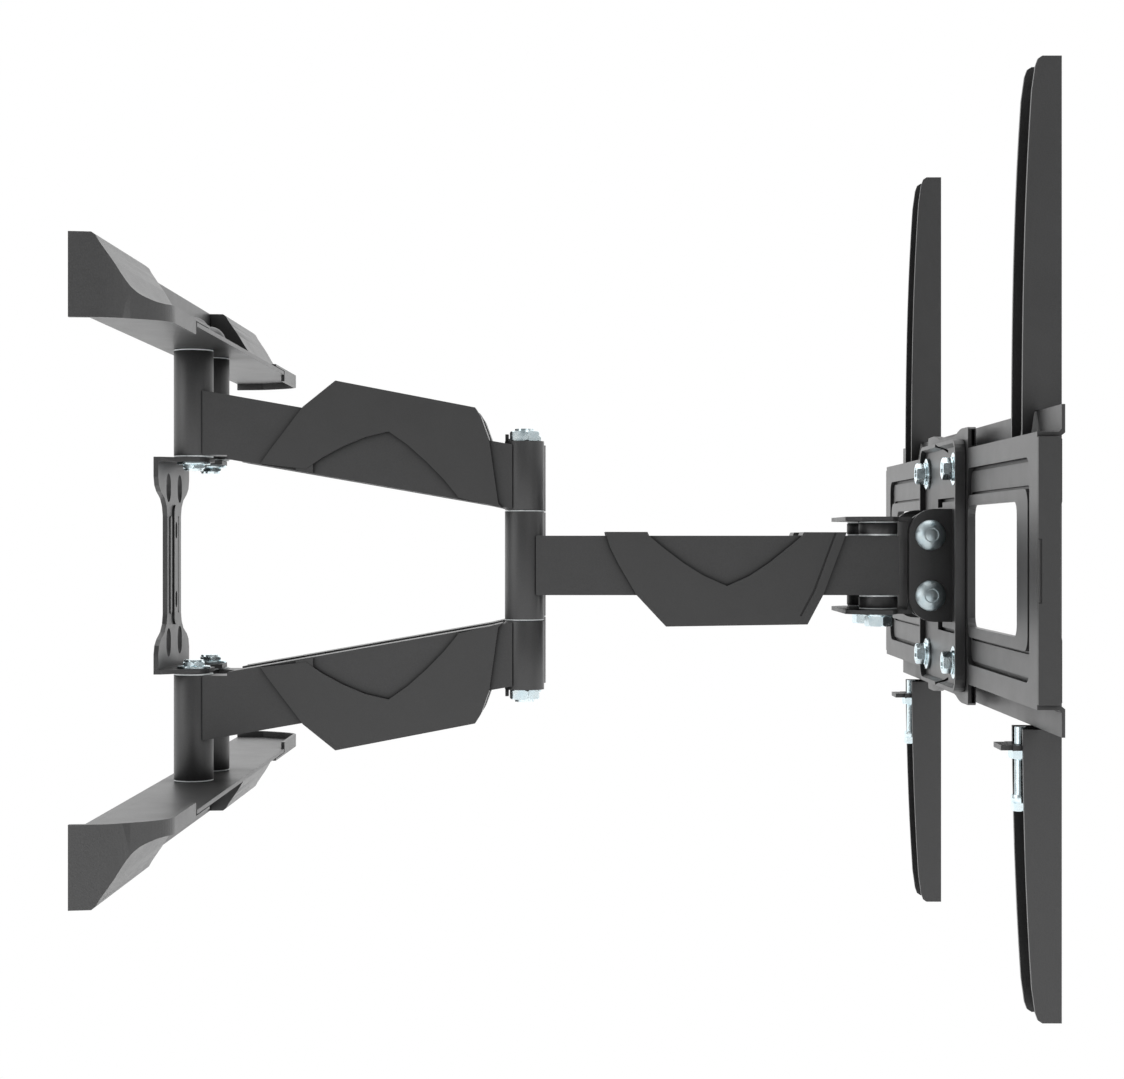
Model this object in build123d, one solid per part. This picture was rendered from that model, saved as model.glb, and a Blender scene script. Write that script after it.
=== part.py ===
from build123d import *
import os, math

os.makedirs("parts", exist_ok=True)

# ---------------------------------------------------------------- driving dimensions (mm)
HALF_W = 225.0          # half width of the wall plates and of the head plate
COL_X = 25.0            # sideways distance of each pivot column from the middle
Y_WALL, Y_ELB, Y_HEAD = -17.5, -191.2, -376.9   # the three vertical pivot axes
R_TUBE = 10.3           # outer radius of every pivot tube
R_BORE = 7.5            # bore of the pivot tubes, filled by nylon bushes
R_BOLT = 5.0            # pivot bolts at wall and elbow
R_HBOLT = 4.0           # head pivot bolts
RUN = 0.06              # radial running clearance
GAP = 0.3               # gap between pieces of different bodies
STEEL = 2.2             # sheet thickness
Z_WT0, Z_WT1 = 57.4, 112.2     # wall pivot tube
Z_ES0, Z_ES1 = 29.0, 65.0      # elbow tube segment of a sloping arm
Z_EF = 28.2                    # half height of the forearm's elbow tube
Z_HT = 22.0                    # half height of the forearm's head tube
ARM_T = 18.0            # thickness of every rectangular tube
ARM_H, FORE_H = 33.0, 31.0
Z_A0, Z_A1 = 75.6, 45.2        # arm centre line height at the wall pivot and at the elbow
COVER_T = 1.9           # how far a cable cover stands proud of the arm
SLOT_X, SLOT_Z = 203.2, 130.0  # wall bolt slots
PLATE_Z = 113.2         # underside of the upper wall plate
PLATE_D = 41.0          # depth of the wall plate
Y_TILT, Z_TILT = -403.3, 15.8  # tilt bolts
LVL_Y0, LVL_T = -414.6, 2.4    # levelling plate: wall-side face and thickness
HP_Y0, HP_T = -417.4, 2.0      # head plate: wall-side face and thickness
RAIL_Y = -429.5                # front of the rails' lips
BR_X = 161.6            # TV bracket centre
BR_W = 25.5             # TV bracket width
BR_Y = -439.5           # TV bracket front face
BR_Z0, BR_Z1 = -206.5, 233.5
VESA_R = 4.25
FOLD_DRIFT = 7.6        # half travel of the open pivot's bolt in its slot

# ---------------------------------------------------------------- helpers
def bx(x0, x1, y0, y1, z0, z1):
    x0, x1 = sorted((x0, x1)); y0, y1 = sorted((y0, y1)); z0, z1 = sorted((z0, z1))
    return Pos((x0 + x1) / 2, (y0 + y1) / 2, (z0 + z1) / 2) * Box(x1 - x0, y1 - y0, z1 - z0)

def cz(x, y, r, z0, z1):
    return Pos(x, y, (z0 + z1) / 2) * Cylinder(r, abs(z1 - z0))

def cy(x, z, r, y0, y1):
    return Pos(x, (y0 + y1) / 2, z) * Rot(90, 0, 0) * Cylinder(r, abs(y1 - y0))

def cx(y, z, r, x0, x1):
    return Pos((x0 + x1) / 2, y, z) * Rot(0, 90, 0) * Cylinder(r, abs(x1 - x0))

def px(pts, x0, x1):
    """outline in (y, z) swept along X"""
    f = make_face(Polyline(*[(x0, a, b) for a, b in pts], close=True))
    return extrude(f, amount=abs(x1 - x0), dir=(1 if x1 > x0 else -1, 0, 0))

def pz(pts, z0, z1):
    """outline in (x, y) swept along Z"""
    f = make_face(Polyline(*[(a, b, z0) for a, b in pts], close=True))
    return extrude(f, amount=abs(z1 - z0), dir=(0, 0, 1 if z1 > z0 else -1))

def py(pts, y0, y1):
    """outline in (x, z) swept along Y"""
    f = make_face(Polyline(*[(a, y0, b) for a, b in pts], close=True))
    return extrude(f, amount=abs(y1 - y0), dir=(0, 1 if y1 > y0 else -1, 0))

def hexz(x, y, af, z0, z1):
    ac = af / math.sqrt(3)
    pts = [(x + ac * math.cos(math.radians(60 * i + 12)), y + ac * math.sin(math.radians(60 * i + 12))) for i in range(6)]
    h = pz(pts, min(z0, z1), max(z0, z1))
    zc = (z0 + z1) / 2
    cap = Pos(x, y, zc) * Cylinder(ac * 1.03, abs(z1 - z0))
    try:
        cap = chamfer(cap.edges().filter_by(GeomType.CIRCLE), 0.9)
    except Exception:
        pass
    return h & cap

def hexy(x, z, af, y0, y1):
    ac = af / math.sqrt(3)
    pts = [(x + ac * math.cos(math.radians(60 * i + 30)), z + ac * math.sin(math.radians(60 * i + 30))) for i in range(6)]
    h = py(pts, min(y0, y1), max(y0, y1))
    cap = Pos(x, (y0 + y1) / 2, z) * Rot(90, 0, 0) * Cylinder(ac * 1.03, abs(y1 - y0))
    cap = chamfer(cap.edges().filter_by(GeomType.CIRCLE), 0.7)
    return h & cap

def dome_z(x, y, r, h, z0, up):
    """low round head standing on z0"""
    R = (r * r + h * h) / (2 * h)
    s = Pos(x, y, z0 - up * (R - h)) * Sphere(R)
    return s & cz(x, y, r + 1, z0, z0 + up * (h + 1))

def dome_x(y, z, r, h, x0, d):
    R = (r * r + h * h) / (2 * h)
    s = Pos(x0 - d * (R - h), y, z) * Sphere(R)
    return s & cx(y, z, r + 1, min(x0, x0 + d * (h + 1)), max(x0, x0 + d * (h + 1)))

def slot_y(x, z, hl, r, y0, y1, along="x"):
    """slot through a wall that faces Y"""
    if along == "x":
        return bx(x - hl, x + hl, y0, y1, z - r, z + r) + cy(x - hl, z, r, y0, y1) + cy(x + hl, z, r, y0, y1)
    return bx(x - r, x + r, y0, y1, z - hl, z + hl) + cy(x, z - hl, r, y0, y1) + cy(x, z + hl, r, y0, y1)

def slot_zx(x, y, hl, r, z0, z1):
    return bx(x - hl, x + hl, y - r, y + r, z0, z1) + cz(x - hl, y, r, z0, z1) + cz(x + hl, y, r, z0, z1)

def mz(s):
    return mirror(s, about=Plane.XY)

def mx(s):
    return mirror(s, about=Plane.YZ)

def save(obj, name):
    if isinstance(obj, (list, tuple)):
        sol = []
        for o in obj:
            sol += list(o.solids())
        obj = Compound(children=sol) if len(sol) > 1 else sol[0]
    else:
        sol = list(obj.solids())
        obj = sol[0] if len(sol) == 1 else Compound(children=sol)
    export_step(obj, f"parts/{name}.step")
    print(name, len(sol), "solid(s)", round(sum(s.volume for s in sol), 1))

# ---------------------------------------------------------------- wall plates
PLAN = [(-222.4, 0), (-220.6, -17.0), (-215.6, -24.6), (-210.8, -32.0), (-203.0, -38.6),
        (-146.5, -38.6), (-144.5, -PLATE_D), (144.5, -PLATE_D), (146.5, -38.6),
        (203.0, -38.6), (210.8, -32.0), (215.6, -24.6), (220.6, -17.0), (222.4, 0)]
horiz = pz(PLAN, PLATE_Z, PLATE_Z + STEEL)
vert = bx(-222.4, 222.4, -STEEL, 0, PLATE_Z, 144.0) + bx(-110.8, 110.8, -STEEL, 0, 140.0, 146.4)
plate = horiz + vert
for e in (-1, 1):
    plate -= slot_y(e * SLOT_X, SLOT_Z, 8.0, 4.25, 1, -4)
    plate -= cz(e * COL_X, Y_WALL, R_BOLT + RUN, PLATE_Z - 1, PLATE_Z + 4)
    # stiffening gussets in the bend
    for gx in (62.0, 100.0):
        plate += px([(-STEEL + 0.2, PLATE_Z + STEEL - 0.2), (-STEEL - 12, PLATE_Z + STEEL - 0.2), (-STEEL + 0.2, PLATE_Z + STEEL + 12)],
                    e * gx - 1.5, e * gx + 1.5)
save(plate, "upper_wall_plate")
save(mz(plate), "lower_wall_plate")

# ---------------------------------------------------------------- end covers
PROF = [(0, 109.4), (0, 146.4), (-9.8, 146.3), (-11.6, 144.9), (-13.0, 142.4), (-15.6, 138.6), (-18.9, 133.8),
        (-21.4, 129.6), (-24.2, 125.2), (-26.7, 122.2), (-29.9, 119.8), (-35.0, 117.6), (-38.4, 116.9), (-PLATE_D, 116.9), (-PLATE_D, 109.4)]
PROF_IN = [(1, 108), (1, 144.4), (-8.9, 144.3), (-9.8, 143.6), (-11.2, 141.4), (-13.8, 137.6), (-17.1, 132.8),
           (-19.6, 128.6), (-22.4, 124.2), (-25.2, 120.8), (-28.9, 118.0), (-34.4, 115.9), (-39.0, 115.7), (-39.0, 108)]
def blend(p0, p1, p2, n=11):
    """rounded corner from p0 to p2 round the sharp corner p1"""
    return [tuple((1 - t) ** 2 * a + 2 * t * (1 - t) * b + t * t * c for a, b, c in zip(p0, p1, p2)) for t in [i / n for i in range(n + 1)]]
OUT = [(-HALF_W, 0), (-224.4, -6.5)] + blend((-223.6, -13.0), (-222.4, -19.4), (-218.0, -25.4), 4) + \
    blend((-214.5, -30.6), (-207.6, -PLATE_D), (-197.0, -PLATE_D), 12) + [(-111.0, -PLATE_D), (-111.0, 0)]
INN = [(-222.7, 1), (-220.9, -17.0), (-215.9, -24.7), (-211.1, -32.2), (-203.2, -39.0), (-113.2, -39.0), (-113.2, 1)]
def smooth_line(pts, k=4):
    """extra points on a smooth curve through the given ones"""
    out = []
    for i in range(len(pts) - 1):
        a, b = pts[i], pts[i + 1]
        p, q = pts[max(i - 1, 0)], pts[min(i + 2, len(pts) - 1)]
        for j in range(k):
            t = j / k
            out.append(tuple(0.5 * (2 * b0 + (c0 - a0) * t + (2 * a0 - 5 * b0 + 4 * c0 - d0) * t * t + (3 * b0 - 3 * c0 + d0 - a0) * t ** 3)
                             for a0, b0, c0, d0 in zip(p, a, b, q)))
    return out + [pts[-1]]
PROF = PROF[:4] + smooth_line(PROF[4:13], 4) + PROF[13:]
outer = px(PROF, -HALF_W - 1, -110) & pz(OUT, 105, 150)
inner = px(PROF_IN, -HALF_W - 1, -110) & pz(INN, 105, 150)
cov = outer - inner
# the front lip stops short of the inner end, where the plate's front edge shows
cov -= bx(-146.0, -110, -30, -45, 108, 115.7)
cov -= bx(-114, -110, 2, -45, 108, 115.7)
cov -= bx(-147, -110, -38.0, -45, 108, 115.7)
cov -= bx(-114, -110, 2, -2.5, 108, 144.4)
cov = cov.solids().sort_by(SortBy.VOLUME)[-1]
save(cov, "upper_left_end_cover")
save(mx(cov), "upper_right_end_cover")
save(mz(cov), "lower_left_end_cover")
save(mz(mx(cov)), "lower_right_end_cover")

# ---------------------------------------------------------------- strap joining the inner ends of the wall pivots
TAB_Z1 = 56.3
TAB_Z0 = TAB_Z1 - STEEL
ST = [(-43, TAB_Z1), (43, TAB_Z1), (43, 46), (41, 41.5), (36, 38.5), (26, 35), (21, 31), (19, 26),
      (19, -26), (21, -31), (26, -35), (36, -38.5), (41, -41.5), (43, -46), (43, -TAB_Z1), (-43, -TAB_Z1),
      (-43, -46), (-41, -41.5), (-36, -38.5), (-26, -35), (-21, -31), (-19, -26), (-19, 26), (-21, 31), (-26, 35),
      (-36, 38.5), (-41, 41.5), (-43, 46)]
strap = py(ST, -2.5, 0)
TAB = [(-43, 0), (-43, -3.5), (-38, -10), (-36.5, -17.5), (-34.5, -22.5), (-31, -25.4), (-27.5, -26.2), (27.5, -26.2), (31, -25.4), (34.5, -22.5),
       (36.5, -17.5), (38, -10), (43, -3.5), (43, 0)]
tab = pz(TAB, TAB_Z0, TAB_Z1) - pz([(-12, -27), (-9, -14), (-6, -11), (6, -11), (9, -14), (12, -27)], 50, 60)
for e in (-1, 1):
    tab -= cz(e * COL_X, Y_WALL, R_BOLT + RUN, 50, 60)
strap = strap + tab + mz(tab)
strap += bx(-5, 5, -3.6, -2.4, -27, 27) + cy(0, 27, 5, -3.6, -2.4) + cy(0, -27, 5, -3.6, -2.4)
for e in (-1, 1):
    for f in (-1, 1):
        strap -= slot_y(e * 15.5, f * 41, 1.6, 6.0, 1, -4, "z")
    strap -= slot_y(0, e * 18.5, 2.0, 2.4, 1, -5, "z")
    # long grooves either side of the rib
    strap += slot_y(e * 11, 0, 24, 2.0, -3.1, -2.4, "z")
save(strap, "pivot_strap")

# ---------------------------------------------------------------- wall pivot bolts, their caps and nuts
bolts, nuts, caps = [], [], []
CAP_R, CAP_TOP = 8.3, 130.2
for e in (-1, 1):
    zb = PLATE_Z + STEEL + 0.02
    b = cz(e * COL_X, Y_WALL, R_BOLT, 49.6, zb)
    b += hexz(e * COL_X, Y_WALL, 11.5, zb, zb + 5.0)
    b = b.solids().sort_by(SortBy.VOLUME)[-1]
    cap = cz(e * COL_X, Y_WALL, CAP_R, zb, CAP_TOP - CAP_R) + Pos(e * COL_X, Y_WALL, CAP_TOP - CAP_R) * Sphere(CAP_R)
    cap = cap & cz(e * COL_X, Y_WALL, 12, zb, 140)
    cap += cz(e * COL_X, Y_WALL, 9.4, zb, zb + 1.2)
    cap -= cz(e * COL_X, Y_WALL, 6.9, zb - 1, zb + 6.5)
    n = hexz(e * COL_X, Y_WALL, 11.0, 50.6, TAB_Z0 - 1.24) + cz(e * COL_X, Y_WALL, 8.6, TAB_Z0 - 1.26, TAB_Z0 - 0.02)
    n -= cz(e * COL_X, Y_WALL, R_BOLT + 0.02, 40, 60)
    bolts += [b, mz(b)]
    nuts += [n, mz(n)]
    caps += [cap, mz(cap)]
save(bolts, "wall_pivot_bolts")
save(nuts, "wall_pivot_nuts")
save(caps, "wall_pivot_caps")

# ---------------------------------------------------------------- sloping arms
SLOPE = math.degrees(math.atan((Z_A0 - Z_A1) / (Y_WALL - Y_ELB)))
def zc_at(y):
    return Z_A0 + (y - Y_WALL) * (Z_A0 - Z_A1) / (Y_WALL - Y_ELB)

def sloped_rect(h, t, ya, yb, xc):
    hv = h / math.cos(math.radians(SLOPE)) / 2
    return px([(ya, zc_at(ya) + hv), (yb, zc_at(yb) + hv), (yb, zc_at(yb) - hv), (ya, zc_at(ya) - hv)], xc - t / 2, xc + t / 2)

def wall_arm(xc):
    a = sloped_rect(ARM_H, ARM_T, -20.0, -188.5, xc) - sloped_rect(ARM_H - 4.4, ARM_T - 4.4, -19.0, -189.5, xc)
    a -= cz(xc, Y_WALL, R_TUBE - 0.5, 40, 120)
    a -= cz(xc, Y_ELB, R_TUBE - 0.5, 20, 80)
    # the rectangular tube's skin stops just short of the round tubes
    for yy in (Y_WALL, Y_ELB):
        for e2 in (-1, 1):
            a -= cz(xc, yy, R_TUBE + 0.55, 20, 120) & bx(xc + e2 * 7.9, xc + e2 * 12, yy - 14, yy + 14, 19, 121)
    # lower edge of the arm stays above the strap when folded
    a -= cz(xc, Y_WALL, 21.0, 50, 57.5)
    t1 = cz(xc, Y_WALL, R_TUBE, Z_WT0, Z_WT1)
    t2 = cz(xc, Y_ELB, R_TUBE, Z_ES0, Z_ES1)
    a = a + t1 + t2
    a -= cz(xc, Y_WALL, R_BORE, 40, 120)
    a -= cz(xc, Y_ELB, R_BOLT + 0.03, 20, 80)
    # stop lug on the tube's end, beside the nut
    a += bx(xc - 3, xc + 3, -182.9, -181.2, 60.0, 68.6) & cz(xc, Y_ELB, R_TUBE, 60, 70)
    return a

def wall_bushes(xc):
    out = []
    for z0, z1, f0, f1 in ((Z_WT0, Z_WT0 + 12, Z_WT0 - 0.8, Z_WT0), (Z_WT1 - 12, Z_WT1, Z_WT1, Z_WT1 + 0.7)):
        b = cz(xc, Y_WALL, R_BORE - 0.02, z0, z1) + cz(xc, Y_WALL, R_TUBE - 0.1, f0 , f1)
        b -= cz(xc, Y_WALL, R_BOLT + RUN, 40, 130)
        out += [b, mz(b)]
    return out

U_COV = [(-54.1, 53.0), (-58.5, 59.2), (-76.2, 82.6), (-93.1, 96.2), (-165.8, 82.2), (-168.7, 77.6), (-173.1, 65.3), (-177.8, 32.2), (-180.0, 30.0),
         (-156.7, 35.4), (-78.0, 50.2)]
U_V = [(-76.0, 44.0), (-78.0, 50.4), (-86.5, 56.2), (-97.0, 61.9), (-108.5, 66.8), (-120.8, 69.7), (-130.5, 62.9), (-140.5, 54.0), (-149.5, 44.8), (-156.7, 36.0), (-156.7, 28.0)]

def inset(pts, d):
    """outline moved inward by d, straight offset of each side"""
    n = len(pts)
    area = sum(pts[i][0] * pts[(i + 1) % n][1] - pts[(i + 1) % n][0] * pts[i][1] for i in range(n))
    s = 1 if area > 0 else -1
    L = []
    for i in range(n):
        (x1, y1), (x2, y2) = pts[i], pts[(i + 1) % n]
        dx, dy = x2 - x1, y2 - y1
        m = math.hypot(dx, dy)
        nx, ny = -dy / m * s, dx / m * s
        L.append(((x1 + nx * d, y1 + ny * d), (dx, dy)))
    out = []
    for i in range(n):
        (p, u), (q, v) = L[i - 1], L[i]
        den = u[0] * v[1] - u[1] * v[0]
        t = ((q[0] - p[0]) * v[1] - (q[1] - p[1]) * v[0]) / den
        out.append((p[0] + u[0] * t, p[1] + u[1] * t))
    return out

def skin_cover(outline, notch, xc, arm_cut, far_open, raise_pts):
    """cable cover: two skins beside the arm joined by a spine along the cable side"""
    t = ARM_T / 2 + COVER_T
    c = px(outline, xc - t, xc + t)
    ins = inset(outline, 1.7)
    c -= px(ins, xc - t + 1.7, xc + t - 1.7)
    c -= arm_cut
    # a raised chevron panel on each skin
    if raise_pts:
        for e in (-1, 1):
            c += px(raise_pts, xc + e * (t - 0.3), xc + e * (t + 0.7))
    if notch:
        c -= px(notch, xc - t - 2, xc + t + 2)
    return c

def wall_arm_cover(xc):
    cut = sloped_rect(ARM_H + 0.3, ARM_T + 0.3, -40.0, -185.0, xc)
    t = ARM_T / 2 + COVER_T
    c = skin_cover(U_COV, None, xc, cut, None, None)
    # V notch in both skins, open at the strap side: the arm shows through it
    c -= px(U_V, xc - t - 1, xc + t + 1)
    # snap clip beside the notch
    for e in (-1, 1):
        x0, x1 = xc + e * (t - 1.5), xc + e * (t - 0.25)
        c += px([(-72.5, 54.5), (-72.5, 49.6), (-81.5, 47.9), (-81.5, 52.6)], x0, x1)
    # keep the arm's own ends open
    c -= cz(xc, Y_ELB, R_TUBE + 0.3, 20, 100)
    return c.solids().sort_by(SortBy.VOLUME)[-1]

names = {-1: "left", 1: "right"}
for e in (-1, 1):
    xc = e * COL_X
    a = wall_arm(xc)
    save(a, f"upper_{names[e]}_arm")
    save(mz(a), f"lower_{names[e]}_arm")
    c = wall_arm_cover(xc)
    save(c, f"upper_{names[e]}_arm_cover")
    save(mz(c), f"lower_{names[e]}_arm_cover")
    save(wall_bushes(xc), f"{names[e]}_wall_bushes")
    # elbow bolt, held by the arms
    save(cz(xc, Y_ELB, R_BOLT, -71.5, 71.5), f"{names[e]}_elbow_bolt")
    n = hexz(xc, Y_ELB, 14.2, Z_ES1 + 0.02, 70.2) - cz(xc, Y_ELB, R_BOLT + 0.02, 60, 80)
    save([n, mz(n)], f"{names[e]}_elbow_nuts")

# ---------------------------------------------------------------- forearms
F_COV = [(-233.6, 17.5), (-236.0, 9.5), (-240.5, 0.5), (-249.7, -15.3), (-265.1, -31.8), (-338.7, -30.7), (-346.9, -15.3), (-359.1, 17.3),
         (-354.0, 17.4), (-335.9, 17.4), (-256.2, 17.4)]
F_V = [(-254.8, 19.0), (-256.4, 15.4), (-264.5, 8.6), (-274.0, 1.4), (-284.5, -5.2), (-296.9, -10.7), (-308.5, -5.4), (-318.5, 1.2), (-327.6, 8.5), (-335.9, 15.4), (-337.5, 19.0)]
def forearm(xc):
    a = bx(xc - ARM_T / 2, xc + ARM_T / 2, Y_ELB - 6, -386.6, -FORE_H / 2, FORE_H / 2)
    a -= bx(xc - ARM_T / 2 + 2.2, xc + ARM_T / 2 - 2.2, Y_ELB - 5, -390, -FORE_H / 2 + 2.2, FORE_H / 2 - 2.2)
    a -= cz(xc, Y_ELB, R_TUBE - 0.5, -40, 40)
    for e2 in (-1, 1):
        a -= cz(xc, Y_ELB, R_TUBE + 0.55, -30, 30) & bx(xc + e2 * 7.9, xc + e2 * 12, Y_ELB - 14, Y_ELB + 14, -31, 31)
    a += cz(xc, Y_ELB, R_TUBE, -Z_EF, Z_EF) + cz(xc, Y_HEAD, 8.4, -FORE_H / 2 - 0.0, FORE_H / 2) + cz(xc, Y_HEAD, 8.0, -Z_HT - 0.2, Z_HT + 0.2)
    a -= cz(xc, Y_ELB, R_BORE, -40, 40)
    a -= cz(xc, Y_HEAD, 6.5, -40, 40)
    # open end closed by a thin cap plate
    a += bx(xc - ARM_T / 2 + 1, xc + ARM_T / 2 - 1, -385.2, -386.6, -FORE_H / 2 + 1, FORE_H / 2 - 1)
    a -= cz(xc, Y_HEAD, 6.5, -40, 40)
    return a

def fore_bushes(xc):
    out = []
    b = cz(xc, Y_ELB, R_BORE - 0.02, Z_EF - 12, Z_EF) + cz(xc, Y_ELB, R_TUBE - 0.1, Z_EF, Z_EF + 0.5)
    b -= cz(xc, Y_ELB, R_BOLT + RUN, 0, 60)
    out += [b, mz(b)]
    b = cz(xc, Y_HEAD, 6.48, Z_HT - 9, Z_HT + 0.22) + cz(xc, Y_HEAD, 9.8, Z_HT + 0.22, Z_HT + 0.9)
    b -= cz(xc, Y_HEAD, R_HBOLT + RUN, 0, 60)
    out += [b, mz(b)]
    # pale ring between the rectangular tube and the sleeve
    b = cz(xc, Y_HEAD, 9.8, FORE_H / 2 + 0.02, FORE_H / 2 + 0.9) - cz(xc, Y_HEAD, 8.02, 0, 60)
    out += [b, mz(b)]
    return out

def head_sleeves(xc):
    b = cz(xc, Y_HEAD, 10.1, FORE_H / 2 + 0.92, Z_HT + 0.2) - cz(xc, Y_HEAD, 8.02, 0, 60)
    return [b, mz(b)]

def fore_cover(xc):
    t = ARM_T / 2 + COVER_T
    outl = F_COV[:8]
    c = px(outl, xc - t, xc + t) - px(inset(outl, 1.7), xc - t + 1.7, xc + t - 1.7)
    c -= bx(xc - ARM_T / 2 - 0.15, xc + ARM_T / 2 + 0.15, -200, -380, -FORE_H / 2 - 0.15, FORE_H / 2 + 0.15)
    for e in (-1, 1):
        # crease parallel to the outer lower edge
        c -= px([(-354.0, 17.6), (-342.6, -13.3), (-335.6, -26.4), (-334.6, -26.2), (-341.6, -12.9), (-353.0, 17.6)], xc + e * (t - 0.5), xc + e * (t + 1))
    c -= px(F_V, xc - t - 1, xc + t + 1)
    return c.solids().sort_by(SortBy.VOLUME)[-1]

for e in (-1, 1):
    xc = e * COL_X
    save(forearm(xc), f"{names[e]}_forearm")
    save(fore_bushes(xc), f"{names[e]}_forearm_bushes")
    save(fore_cover(xc), f"{names[e]}_forearm_cover")
    save(head_sleeves(xc), f"{names[e]}_head_sleeves")

# ---------------------------------------------------------------- swivel bracket
SP0, SP1 = 23.2, 25.4
SW_X = 29.6            # outer face of the swivel bracket's side flanges
PL = [(-40.5, -366.5), (-31.0, -359.0), (31.0, -359.0), (40.5, -366.5), (40.5, -382.5), (SW_X, -386.5), (SW_X, -394.0),
      (-SW_X, -394.0), (-SW_X, -386.5), (-40.5, -382.5)]
def rounded_yz(y0, y1, z0, z1, r_wall, r_front, x0, x1):
    b = bx(x0, x1, y0, y1, z0, z1)
    return b
def swing_flange(x0, x1):
    pts = []
    # wall-side corners generously rounded, front corners rounded to clear the tilting plate
    yw, yf, zt = -391.6, -412.9, 27.4
    rw, rf = 9.0, 9.0
    def arc(cy0, cz0, r, a0, a1, n=7):
        return [(cy0 + r * math.cos(math.radians(a0 + (a1 - a0) * i / n)), cz0 + r * math.sin(math.radians(a0 + (a1 - a0) * i / n))) for i in range(n + 1)]
    pts += arc(yw - rw, zt - rw, rw, 0, 90)
    pts += arc(yf + rf, zt - rf, rf, 90, 180)
    pts += arc(yf + rf, -zt + rf, rf, 180, 270)
    pts += arc(yw - rw, -zt + rw, rw, 270, 360)
    return px(pts, x0, x1)
sw = pz(PL, SP0, SP1)
for e in (-1, 1):
    if e < 0:
        sw -= cz(e * COL_X, Y_HEAD, R_HBOLT + 0.03, 20, 30)
    else:
        sw -= slot_zx(e * COL_X, Y_HEAD, FOLD_DRIFT, R_HBOLT + GAP, 20, 30)
sw = sw + mz(sw)
sw += bx(-SW_X, SW_X, -391.6, -394.0, -SP1, SP1)
for e in (-1, 1):
    x0, x1 = sorted((e * (SW_X - 2.4), e * SW_X))
    sw += swing_flange(x0, x1)
# tilt bolt holes: lower round pivot, upper arc slot
for e in (-1, 1):
    x0, x1 = sorted((e * 24, e * 34))
    sw -= cx(Y_TILT, -Z_TILT, 3.0 + RUN, x0, x1)
    for a in (-2.6, -1.3, 0, 1.3, 2.6, 3.9, 5.2, 6.5, 7.8, 9.1, 10.4):
        ar = math.radians(a)
        sw -= cx(Y_TILT - 2 * Z_TILT * math.sin(ar), -Z_TILT + 2 * Z_TILT * math.cos(ar), 3.35, x0, x1)
# stop lug under the bottom plate
sw += bx(-3.5, 3.5, -381.0, -384.0, -SP1 + 0.2, -SP1 - 4.0)
sw = sw.solids().sort_by(SortBy.VOLUME)[-1]
save(sw, "swivel_bracket")

# ---------------------------------------------------------------- head pivot bolts, put in from below
lb0 = cz(-COL_X, Y_HEAD, R_HBOLT, -SP1 - 0.02, SP1 - 0.1)
lb0 += cz(-COL_X, Y_HEAD, 7.6, -SP1 - 1.2, -SP1 - 0.02) + hexz(-COL_X, Y_HEAD, 12.8, -SP1 - 6.6, -SP1 - 1.18)
save(lb0, "left_head_pivot_bolt")
# the open pivot: its bolt rides with the right forearm, a wide washer covers the slot below
rb = cz(COL_X, Y_HEAD, R_HBOLT, -SP1 - 1.4, SP1 - 0.1) + hexz(COL_X, Y_HEAD, 12.8, -SP1 - 6.9, -SP1 - 1.38)
save(rb, "right_head_pivot_bolt")
w = cz(COL_X, Y_HEAD, 12.0, -SP1 - 1.36, -SP1 - GAP) - cz(COL_X, Y_HEAD, R_HBOLT + 0.02, -40, 0)
save(w, "right_head_pivot_washer")

# ---------------------------------------------------------------- levelling plate with D-shaped side flanges
def rr_pts(hx, z0, z1, r, n=6):
    pts = []
    for (cx0, cz0, a0) in ((hx - r, z1 - r, 0), (-hx + r, z1 - r, 90), (-hx + r, z0 + r, 180), (hx - r, z0 + r, 270)):
        for i in range(n + 1):
            a = math.radians(a0 + 90 * i / n)
            pts.append((cx0 + r * math.cos(a), cz0 + r * math.sin(a)))
    return pts
lv = py(rr_pts(57, -65, 65, 9), LVL_Y0 - LVL_T, LVL_Y0)
rim = py(rr_pts(57, -65, 65, 9), LVL_Y0 - 1, -411.7) - py(rr_pts(55, -63, 63, 7), LVL_Y0 - 2, -410)
lv += rim
DFX0, DFX1 = 30.2, 32.4
def d_flange(x0, x1):
    pts = [(LVL_Y0 - 0.5, 29.5)]
    yw, zt, r = -392.0, 29.5, 13.0
    for i in range(9):
        a = math.radians(90 - 90 * i / 8)
        pts.append((yw - r + r * math.cos(a), zt - r + r * math.sin(a)))
    for i in range(9):
        a = math.radians(-90 * i / 8)
        pts.append((yw - r + r * math.cos(a), -zt + r + r * math.sin(a)))
    pts.append((LVL_Y0 - 0.5, -29.5))
    return px(pts, x0, x1)
for e in (-1, 1):
    x0, x1 = sorted((e * DFX0, e * DFX1))
    lv += d_flange(x0, x1)
    xa, xb = sorted((e * 28, e * 35))
    for z in (-Z_TILT, Z_TILT):
        lv -= cx(Y_TILT, z, 3.03, xa, xb)
    # levelling slots, hidden under the washers
    for z in (-50, 50):
        sgn = -1 if z > 0 else 1
        for k in range(-3, 4):
            a = math.radians(k * 1.1)
            X = e * 43 * math.cos(a) - z * math.sin(a)
            Z = e * 43 * math.sin(a) + z * math.cos(a)
            lv -= cy(X, Z, 3.35, LVL_Y0 + 1, LVL_Y0 - LVL_T - 1)
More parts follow.
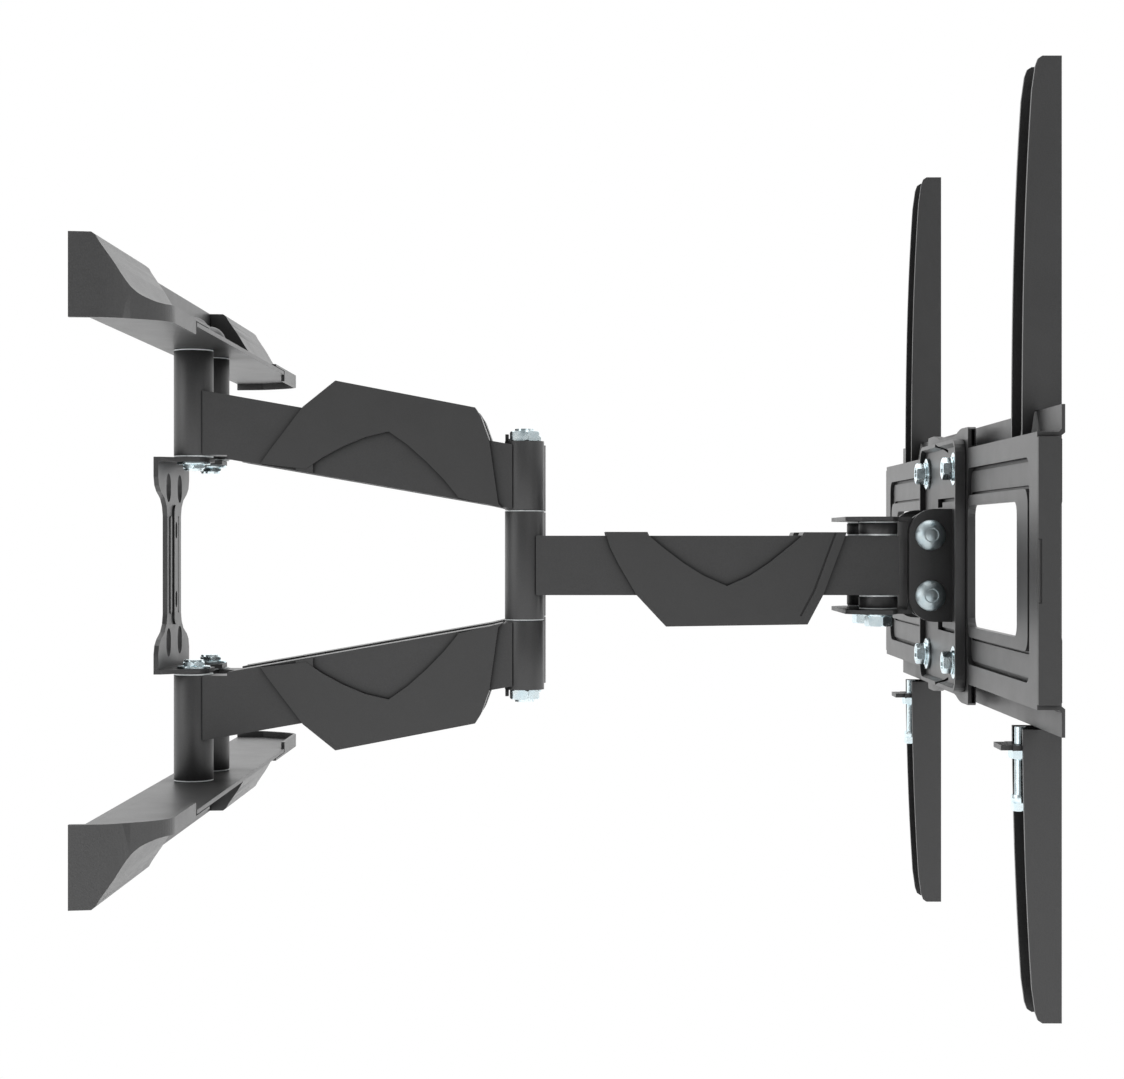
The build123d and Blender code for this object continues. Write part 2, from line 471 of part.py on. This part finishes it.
for s in (-1, 1):
    # sloping inner face of the top and bottom rims
    lv += px([(LVL_Y0 - 0.2, s * 61.3), (-411.9, s * 63.2), (-411.9, s * 63.4), (LVL_Y0 - 0.2, s * 63.4)], -49, 49)
    # L slots above and below the side flanges, and a slanting slot near each rim
    lv -= bx(-42, 12, LVL_Y0 + 1, LVL_Y0 - LVL_T - 1, s * 33.3, s * 35.3)
    lv -= bx(-2, 12, LVL_Y0 + 1, LVL_Y0 - LVL_T - 1, s * 30.6, s * 33.4)
    lv -= Pos(-8, LVL_Y0, s * 61.9) * Rot(0, -s * 10, 0) * Box(25, 8, 1.5)
lv -= py(rr_pts(20, -16, 16, 6), LVL_Y0 - LVL_T - 1, LVL_Y0 + 1)
save(lv, "levelling_plate")

tb, tn = [], []
for e in (-1, 1):
    for z in (-Z_TILT, Z_TILT):
        x_in = e * 23.6
        b = cx(Y_TILT, z, 3.0, min(x_in, e * (DFX1 + 0.02)), max(x_in, e * (DFX1 + 0.02)))
        xh = e * (DFX1 + 0.02)
        head = dome_x(Y_TILT, z, 8.0, 4.0, xh, e).solids()[0]
        head = head.cut(cx(Y_TILT, z, 3.7, min(xh + e * 2.95, xh + e * 6), max(xh + e * 2.95, xh + e * 6)))
        head = head.fuse(dome_x(Y_TILT, z, 3.2, 0.45, xh + e * 2.94, e).solids()[0])
        b = b.solids()[0].fuse(*(head.solids() if hasattr(head, "solids") else [head]))
        tb.append(b)
        xo = e * (SW_X - 2.4 - GAP)
        n = cx(Y_TILT, z, 5.6, min(xo, xo - e * 3.0), max(xo, xo - e * 3.0)) - cx(Y_TILT, z, 3.02, -40, 40)
        tn.append(n)
save(tb, "tilt_bolts")
save(tn, "tilt_nuts")

# ---------------------------------------------------------------- head plate
yb, yf = HP_Y0, HP_Y0 - HP_T
hp = bx(-HALF_W, HALF_W, yf, yb, -60, 60)
def rail():
    r = px([(yb, 60.0), (yb, 58.0), (RAIL_Y + 2.0, 58.0), (RAIL_Y, 59.6), (RAIL_Y, 71.9), (RAIL_Y + 1.5, 71.9), (RAIL_Y + 1.5, 61.4), (RAIL_Y + 2.7, 60.0)], -HALF_W, HALF_W)
    return r
hp += rail() + mz(rail())
WIN_C, WIN_H, WIN_Z, RIM_Y = 120.6, 60.6, 30.8, -421.5
PK_D = 1.9              # depth of the pressed panels
PK_C, PK_H, PK_Z = 133.6, 75.0, 49.7
FR_C, FR_H, FR_Z = 131.8, 72.6, 36.0
def panel(e, c, h, z, r, ya, yb_):
    return py([(a + e * c, b) for a, b in rr_pts(h, -z, z, r)], ya, yb_)
for e in (-1, 1):
    window = panel(e, WIN_C, WIN_H, WIN_Z, 6, yf - 6, yb + 2)
    # pressed panel, standing out on the TV side
    hp += panel(e, PK_C, PK_H + 1.4, PK_Z + 1.4, 8, yf - 2.0, yf + 0.1)
    hp -= panel(e, PK_C, PK_H, PK_Z, 7, yb - PK_D, yb + 1)
    # deeper line along the panel's edge and round the window's frame
    hp -= panel(e, PK_C, PK_H, PK_Z, 7, yb - PK_D - 1.1, yb + 1) - panel(e, PK_C, PK_H - 1.4, PK_Z - 1.7, 6, yb - 6, yb + 2)
    hp -= panel(e, FR_C, FR_H + 1.4, FR_Z + 1.4, 8, yb - PK_D - 1.1, yb + 1) - panel(e, FR_C, FR_H - 1, FR_Z - 1, 6, yb - 6, yb + 2)
    # raised frame of the window, and the window's rolled edge turned towards the TV
    hp += panel(e, FR_C, FR_H, FR_Z, 7, yb - 3.4, yb - 0.15)
    hp += panel(e, WIN_C, WIN_H + 1.4, WIN_Z + 1.4, 7, RIM_Y, yf + 0.2)
    hp -= window
    for s in (-1, 1):
        hp -= cy(e * 43, s * 50, 3.05, yf - 4, yb + 1)
# raised blocks at the middle of the rails
for s in (-1, 1):
    top = [(-61.5, 59.5), (-61.5, 69.6), (-60.6, 70.7), (-44.0, 70.9), (-38.0, 70.5), (-32.0, 69.6), (-27.0, 68.4), (-22.0, 67.8)]
    blk = py([(a, s * b) for a, b in top + [(-a, b) for a, b in reversed(top)]], -421.5, yb)
    hp += blk
    for e in (-1, 1):
        hp -= bx(e * 57.0, e * 62.0, -421.0, -419.2, s * 61.2, s * 69.6)
# opening behind the levelling plate's middle
hp -= py(rr_pts(20, -16, 16, 6), yf - 4, yb + 1)
save(hp, "head_plate")

# welded nuts, levelling bolts and washers
wn, lb, lw = [], [], []
for e in (-1, 1):
    for s in (-1, 1):
        X, Z = e * 43, s * 50
        wn.append(hexy(X, Z, 10, yf - 5.0, yf - 0.02) - cy(X, Z, 3.02, yf - 6, yf + 1))
        wy = LVL_Y0 + GAP
        lw.append(cy(X, Z, 8.5, wy, wy + 1.3) - cy(X, Z, 3.02, wy - 1, wy + 3))
        b = cy(X, Z, 3.0, yf - 5.6, wy + 1.35)
        b += cy(X, Z, 6.2, wy + 1.32, wy + 2.3)
        b += hexy(X, Z, 10, wy + 2.1, wy + 7.0)
        b -= cy(X, Z, 3.4, wy + 6.3, wy + 8)
        lb.append(b)
save(wn, "welded_nuts")
save(lw, "levelling_washers")
save(lb, "levelling_bolts")

# ---------------------------------------------------------------- end caps of the head plate
def end_cap():
    x0, x1 = -HALF_W - 0.02, -HALF_W - 2.6
    outl = [(-417.4, 57.8), (-427.0, 57.8), (-427.7, 56.6), (-427.7, 30.0), (-427.0, 26.0), (-427.0, -26.0), (-427.7, -30.0), (-427.7, -56.6), (-427.0, -57.8), (-417.4, -57.8)]
    c = px(outl, x0, x1)
    inn = px(inset(outl, 1.6), -HALF_W + 9.0, x0)
    tongue = px([(-421.8, 56), (-426.6, 56), (-426.6, -56), (-421.8, -56)], x0 - 0.05, -HALF_W + 10.0)
    tongue -= px([(-423.0, 54), (-425.4, 54), (-425.4, -54), (-423.0, -54)], x0 + 0.6, -HALF_W + 12.0)
    c += tongue
    # latch outline
    for s in (-1, 1):
        c -= bx(x1 - 1, x1 + 0.4, -417.0, -418.9, s * 13.4, s * 14.0)
    c -= bx(x1 - 1, x1 + 0.4, -418.3, -418.9, -14.0, 14.0)
    return c
ec = end_cap()
save(ec, "left_head_end_cap")
save(mx(ec), "right_head_end_cap")

# ---------------------------------------------------------------- TV brackets
ZM = (BR_Z0 + BR_Z1) / 2
def back_y(z):
    """wall-side edge of the flange: 17.6 deep in the middle, 11.3 at the ends"""
    u = abs(z - ZM) / ((BR_Z1 - BR_Z0) / 2)
    return BR_Y + 18.0 - 5.6 * (u ** 3.17)
def tv_bracket(xc):
    pts = [(BR_Y, BR_Z0), (BR_Y, BR_Z1)]
    n = 28
    zs = [BR_Z1 - (BR_Z1 - BR_Z0) * i / n for i in range(n + 1)]
    top = [(BR_Y + 8.8, BR_Z1), (BR_Y + 10.8, BR_Z1 - 1.3), (BR_Y + 12.0, BR_Z1 - 4.6)]
    mid = [(back_y(z), z) for z in zs[1:-1]]
    bot = [(BR_Y + 12.0, BR_Z0 + 4.6), (BR_Y + 10.8, BR_Z0 + 1.3), (BR_Y + 8.8, BR_Z0)]
    pts = pts + top + mid + bot
    s = px(pts, xc - BR_W / 2, xc + BR_W / 2)
    inn = [(a, b) for a, b in pts]
    s -= bx(xc - BR_W / 2 + 2.0, xc + BR_W / 2 - 2.0, BR_Y + 2.2, BR_Y + 30, BR_Z0 - 1, BR_Z1 + 1)
    # hook over the upper rail, plain notch at the lower one
    s -= px([(-431.0, 57.4), (-431.0, 72.3), (-427.3, 72.3), (-426.9, 70.6), (-425.3, 60.0), (-425.3, 57.4)], xc - 20, xc + 20)
    s -= bx(xc - 20, xc + 20, -427.2, -415.0, -73.0, 60.35)
    s -= bx(xc - 20, xc + 20, -431.0, -415.0, -57.4, -73.0)
    # holes for the TV's screws
    for d in (50, 100, 150, 200):
        for k in (-1, 1):
            s -= slot_y(xc, ZM + k * d, 3.25, VESA_R, BR_Y - 1, BR_Y + 4, "z")
    # tab that carries the safety screw
    t = bx(xc - 10.6, xc + 10.6, BR_Y + 2.0, -412.6, -80.4, -82.8)
    t -= bx(xc - 12, xc - 8.6, -418, -410, -84, -79) + bx(xc + 8.6, xc + 12, -418, -410, -84, -79)
    t -= cz(xc, -423.3, 2.65 + 0.08, -90, -70)
    s += t
    return s
def screw(xc):
    b = cz(xc, -423.3, 2.65, -72.7, -110.3)
    b += cz(xc, -423.3, 4.3, -103.8, -107.2)
    b += hexz(xc, -423.3, 7.6, -107.1, -111.4)
    return b
for e in (-1, 1):
    save(tv_bracket(e * BR_X), f"{names[e]}_tv_bracket")
    save(screw(e * BR_X), f"{names[e]}_safety_screw")
    n = hexz(e * BR_X, -423.3, 9.6, -83.0, -87.2) - cz(e * BR_X, -423.3, 2.65 + 0.08, -90, -70)
    save(n, f"{names[e]}_safety_nut")
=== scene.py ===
import math

import bmesh
import bpy
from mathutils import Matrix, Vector

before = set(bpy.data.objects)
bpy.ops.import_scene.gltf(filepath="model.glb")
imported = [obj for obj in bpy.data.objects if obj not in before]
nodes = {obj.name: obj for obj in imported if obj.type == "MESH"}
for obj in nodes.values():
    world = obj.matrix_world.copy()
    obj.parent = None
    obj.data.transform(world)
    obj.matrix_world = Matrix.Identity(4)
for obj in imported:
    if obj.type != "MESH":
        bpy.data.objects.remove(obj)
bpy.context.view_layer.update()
scene = bpy.context.scene
MM = 0.001


# ------------------------------------------------------------------ materials
def new_mat(name):
    m = bpy.data.materials.new(name)
    m.use_nodes = True
    nt = m.node_tree
    nt.nodes.clear()
    out = nt.nodes.new("ShaderNodeOutputMaterial")
    b = nt.nodes.new("ShaderNodeBsdfPrincipled")
    nt.links.new(b.outputs["BSDF"], out.inputs["Surface"])
    tc = nt.nodes.new("ShaderNodeTexCoord")
    return m, nt, b, tc


def noise(nt, tc, scale, detail=2.0, rough=0.5):
    n = nt.nodes.new("ShaderNodeTexNoise")
    n.inputs["Scale"].default_value = scale
    n.inputs["Detail"].default_value = detail
    n.inputs["Roughness"].default_value = rough
    nt.links.new(tc.outputs["Object"], n.inputs["Vector"])
    return n


def ramp(nt, src, stops):
    r = nt.nodes.new("ShaderNodeValToRGB")
    e = r.color_ramp.elements
    e[0].position, e[0].color = stops[0][0], (*stops[0][1], 1)
    e[1].position, e[1].color = stops[-1][0], (*stops[-1][1], 1)
    for p, c in stops[1:-1]:
        k = e.new(p)
        k.color = (*c, 1)
    nt.links.new(src, r.inputs["Fac"])
    return r


def rng(nt, src, lo, hi, a=0.0, b=1.0):
    n = nt.nodes.new("ShaderNodeMapRange")
    n.inputs["From Min"].default_value = a
    n.inputs["From Max"].default_value = b
    n.inputs["To Min"].default_value = lo
    n.inputs["To Max"].default_value = hi
    nt.links.new(src, n.inputs["Value"])
    return n.outputs["Result"]


def bump(nt, b, parts):
    """parts: list of (height socket, strength, distance in metres)"""
    prev = None
    for h, s, d in parts:
        n = nt.nodes.new("ShaderNodeBump")
        n.inputs["Strength"].default_value = s
        n.inputs["Distance"].default_value = d
        nt.links.new(h, n.inputs["Height"])
        if prev is not None:
            nt.links.new(prev, n.inputs["Normal"])
        prev = n.outputs["Normal"]
    nt.links.new(prev, b.inputs["Normal"])


def coat(name, lo, hi, r_lo, r_hi, grain, strength, depth, spec=0.5):
    """dark finish with a fine grain: colour speckle, uneven gloss, grain relief, plus painted shade in gaps and
    inner corners
    """
    m, nt, b, tc = new_mat(name)
    fine = noise(nt, tc, grain, 3.0, 0.62)
    wide = noise(nt, tc, 55.0, 4.0, 0.6)
    mix = nt.nodes.new("ShaderNodeMix")
    mix.data_type = "RGBA"
    c1 = ramp(nt, fine.outputs["Fac"], [(0.36, lo), (0.62, hi)])
    c2 = ramp(nt, wide.outputs["Fac"], [(0.3, tuple(v * 0.94 for v in lo)), (0.7, tuple(0.5 * (a + b) for a, b in zip(lo, hi)))])
    mix.inputs["Factor"].default_value = 0.35
    nt.links.new(c1.outputs["Color"], mix.inputs["A"])
    nt.links.new(c2.outputs["Color"], mix.inputs["B"])
    # painted shade: an ambient-occlusion mask makes gaps and inner corners darker and duller by darkening the
    # base colour
    ao = nt.nodes.new("ShaderNodeAmbientOcclusion")
    ao.samples = 8
    ao.inputs["Distance"].default_value = 0.030
    shade = nt.nodes.new("ShaderNodeMix")
    shade.data_type = "RGBA"
    shade.blend_type = "MULTIPLY"
    shade.inputs["Factor"].default_value = 1.0
    dark = ramp(nt, ao.outputs["AO"], [(0.35, (0.55, 0.55, 0.55)), (0.92, (1.0, 1.0, 1.0))])
    nt.links.new(mix.outputs["Result"], shade.inputs["A"])
    nt.links.new(dark.outputs["Color"], shade.inputs["B"])
    nt.links.new(shade.outputs["Result"], b.inputs["Base Color"])
    nt.links.new(rng(nt, wide.outputs["Fac"], r_lo, r_hi, 0.3, 0.7), b.inputs["Roughness"])
    # painted shade: the specular level drops where the ambient-occlusion mask finds gaps and inner corners
    nt.links.new(rng(nt, ao.outputs["AO"], spec * 0.18, spec * 1.04, 0.45, 0.97), b.inputs["Specular IOR Level"])
    bump(nt, b, [(fine.outputs["Fac"], strength, depth)])
    return m


powder = coat("black_powder_coat", (0.038, 0.038, 0.0385), (0.049, 0.049, 0.050), 0.37, 0.41, 1600.0, 0.38, 0.00011, 0.63)
grain = coat("grained_cover_plastic", (0.042, 0.042, 0.0425), (0.053, 0.053, 0.054), 0.37, 0.42, 1250.0, 0.62, 0.00016, 0.76)
smooth = coat("cable_cover_plastic", (0.043, 0.043, 0.0433), (0.051, 0.051, 0.0515), 0.36, 0.40, 2300.0, 0.16, 0.00005, 0.55)
greyb = coat("grey_cap_plastic", (0.060, 0.060, 0.062), (0.085, 0.085, 0.088), 0.33, 0.40, 1700.0, 0.18, 0.00006)


def make_zinc(name, dull=0.0, k=1.0):
    m, nt, b, tc = new_mat(name)
    wide = noise(nt, tc, 260.0, 3.0)
    fine = noise(nt, tc, 2600.0, 2.0)
    c = ramp(nt, wide.outputs["Fac"], [(0.25, (0.66 * k, 0.80 * k, 0.85 * k)), (0.5, (0.78 * k, 0.90 * k, 0.94 * k)), (0.8, (0.88 * k, 0.96 * k, 0.97 * k))])
    nt.links.new(c.outputs["Color"], b.inputs["Base Color"])
    b.inputs["Metallic"].default_value = 1.0
    nt.links.new(rng(nt, wide.outputs["Fac"], 0.17 + dull, 0.30 + dull, 0.3, 0.7), b.inputs["Roughness"])
    bump(nt, b, [(fine.outputs["Fac"], 0.12, 0.00004)])
    return m


zinc = make_zinc("zinc_plate")
dome_zinc = make_zinc("zinc_dome", 0.13, 0.68)

m, nt, b, tc = new_mat("pale_nylon")
w = noise(nt, tc, 420.0, 2.0)
c = ramp(nt, w.outputs["Fac"], [(0.3, (0.62, 0.66, 0.67)), (0.7, (0.78, 0.81, 0.81))])
nt.links.new(c.outputs["Color"], b.inputs["Base Color"])
nt.links.new(rng(nt, w.outputs["Fac"], 0.32, 0.45, 0.3, 0.7), b.inputs["Roughness"])
bump(nt, b, [(w.outputs["Fac"], 0.1, 0.00005)])
nylon = m


def pick(n):
    if "end_cover" in n:
        return grain
    if "arm_cover" in n or "forearm_cover" in n or "end_cap" in n:
        return smooth
    if "bushes" in n:
        return nylon
    if n == "wall_pivot_caps":
        return greyb
    if n == "tilt_bolts":
        return dome_zinc
    if any(k in n for k in ("bolt", "nut", "washer", "screw")):
        return zinc
    return powder


for n, o in nodes.items():
    mat = pick(n)
    if not o.data.materials:
        o.data.materials.append(mat)
    for i in range(len(o.material_slots)):
        o.material_slots[i].material = mat

# ------------------------------------------------------------------ softened edges
BEVEL = {"upper_wall_plate": 0.5, "lower_wall_plate": 0.5, "pivot_strap": 0.5, "swivel_bracket": 0.5, "levelling_plate": 0.45,
         "head_plate": 0.35, "left_tv_bracket": 0.5, "right_tv_bracket": 0.5}
for n, o in nodes.items():
    width = BEVEL.get(n, 0.35)
    if any(k in n for k in ("end_cover", "arm_cover", "forearm_cover")):
        width = 0.5
    if any(k in n for k in ("bushes", "washer")):
        width = 0.15
    if "safety" in n or "bolt" in n or "nut" in n:
        width = 0.2
    wd = o.modifiers.new("weld", "WELD")
    wd.merge_threshold = 0.00001
    bv = o.modifiers.new("bevel", "BEVEL")
    bv.limit_method = "ANGLE"
    bv.angle_limit = math.radians(34)
    bv.width = width * MM
    bv.segments = 2
    bv.harden_normals = False
    bv.use_clamp_overlap = True

# ------------------------------------------------------------------ stage
FLOOR_Z = -0.262
bm = bmesh.new()
S = 7.0
vs = [bm.verts.new((x, y, FLOOR_Z)) for x, y in ((-S, -S), (S, -S), (S, S), (-S, S))]
bm.faces.new(vs)
me = bpy.data.meshes.new("floor")
bm.to_mesh(me)
bm.free()
floor = bpy.data.objects.new("floor", me)
scene.collection.objects.link(floor)
m, nt, b, tc = new_mat("floor_white")
b.inputs["Base Color"].default_value = (0.93, 0.93, 0.93, 1)
b.inputs["Roughness"].default_value = 0.9
b.inputs["Specular IOR Level"].default_value = 0.1
# the floor glows: emission 0.22 adds fill light onto undersides from below; camera rays see a plain white
# emission of strength 1.0 instead
b.inputs["Emission Color"].default_value = (1, 1, 1, 1)
b.inputs["Emission Strength"].default_value = 0.22
fe = nt.nodes.new("ShaderNodeEmission")
fe.inputs["Color"].default_value = (1, 1, 1, 1)
fe.inputs["Strength"].default_value = 1.0
fl = nt.nodes.new("ShaderNodeLightPath")
fm = nt.nodes.new("ShaderNodeMixShader")
nt.links.new(fl.outputs["Is Camera Ray"], fm.inputs[0])
nt.links.new(b.outputs["BSDF"], fm.inputs[1])
nt.links.new(fe.outputs["Emission"], fm.inputs[2])
nt.links.new(fm.outputs["Shader"], next(k for k in nt.nodes if k.type == "OUTPUT_MATERIAL").inputs["Surface"])
me.materials.append(m)

world = bpy.data.worlds.new("studio")
scene.world = world
world.use_nodes = True
wn = world.node_tree
wn.nodes.clear()
wo = wn.nodes.new("ShaderNodeOutputWorld")
bg = wn.nodes.new("ShaderNodeBackground")
bg2 = wn.nodes.new("ShaderNodeBackground")
lp = wn.nodes.new("ShaderNodeLightPath")
mx = wn.nodes.new("ShaderNodeMixShader")
tc = wn.nodes.new("ShaderNodeTexCoord")
sp = wn.nodes.new("ShaderNodeSeparateXYZ")
wn.links.new(tc.outputs["Generated"], sp.inputs[0])
mr = wn.nodes.new("ShaderNodeMapRange")
mr.interpolation_type = "SMOOTHSTEP"
mr.inputs["From Min"].default_value = -1.0
mr.inputs["From Max"].default_value = 0.75
mr.inputs["To Min"].default_value = 0.24
mr.inputs["To Max"].default_value = 1.25
wn.links.new(sp.outputs["X"], mr.inputs["Value"])
wn.links.new(mr.outputs["Result"], bg.inputs["Strength"])
bg.inputs["Color"].default_value = (1, 1, 1, 1)
bg2.inputs["Color"].default_value = (1, 1, 1, 1)
bg2.inputs["Strength"].default_value = 1.0
wn.links.new(lp.outputs["Is Camera Ray"], mx.inputs[0])
wn.links.new(bg.outputs[0], mx.inputs[1])
wn.links.new(bg2.outputs[0], mx.inputs[2])
wn.links.new(mx.outputs[0], wo.inputs["Surface"])


def area(name, loc, target, size, power, color=(1, 1, 1)):
    l = bpy.data.lights.new(name, "AREA")
    l.shape = "DISK"
    l.size = size
    l.energy = power
    l.color = color
    o = bpy.data.objects.new(name, l)
    o.location = loc
    d = Vector(target) - Vector(loc)
    o.rotation_euler = d.to_track_quat("-Z", "Y").to_euler()
    scene.collection.objects.link(o)
    return o


area("key", (-1.6, -1.4, 1.7), (0, -0.2, 0), 1.6, 7.4)
area("wall_side", (-0.9, 1.5, 0.5), (0, -0.3, 0), 1.4, 6.6)
area("top", (0.3, -0.3, 2.0), (0, -0.2, 0), 1.8, 12.0)

cam = bpy.data.cameras.new("camera")
cam.sensor_width = 36.0
cam.lens = 67.75
cam.shift_x = -0.0178
cam.clip_start = 0.01
cam.clip_end = 50
co = bpy.data.objects.new("camera", cam)
co.location = (-1.1358, -0.2214, 0.0135)
co.rotation_euler = (math.radians(90), 0, math.radians(-90))
scene.collection.objects.link(co)
scene.camera = co
scene.view_settings.view_transform = "Standard"
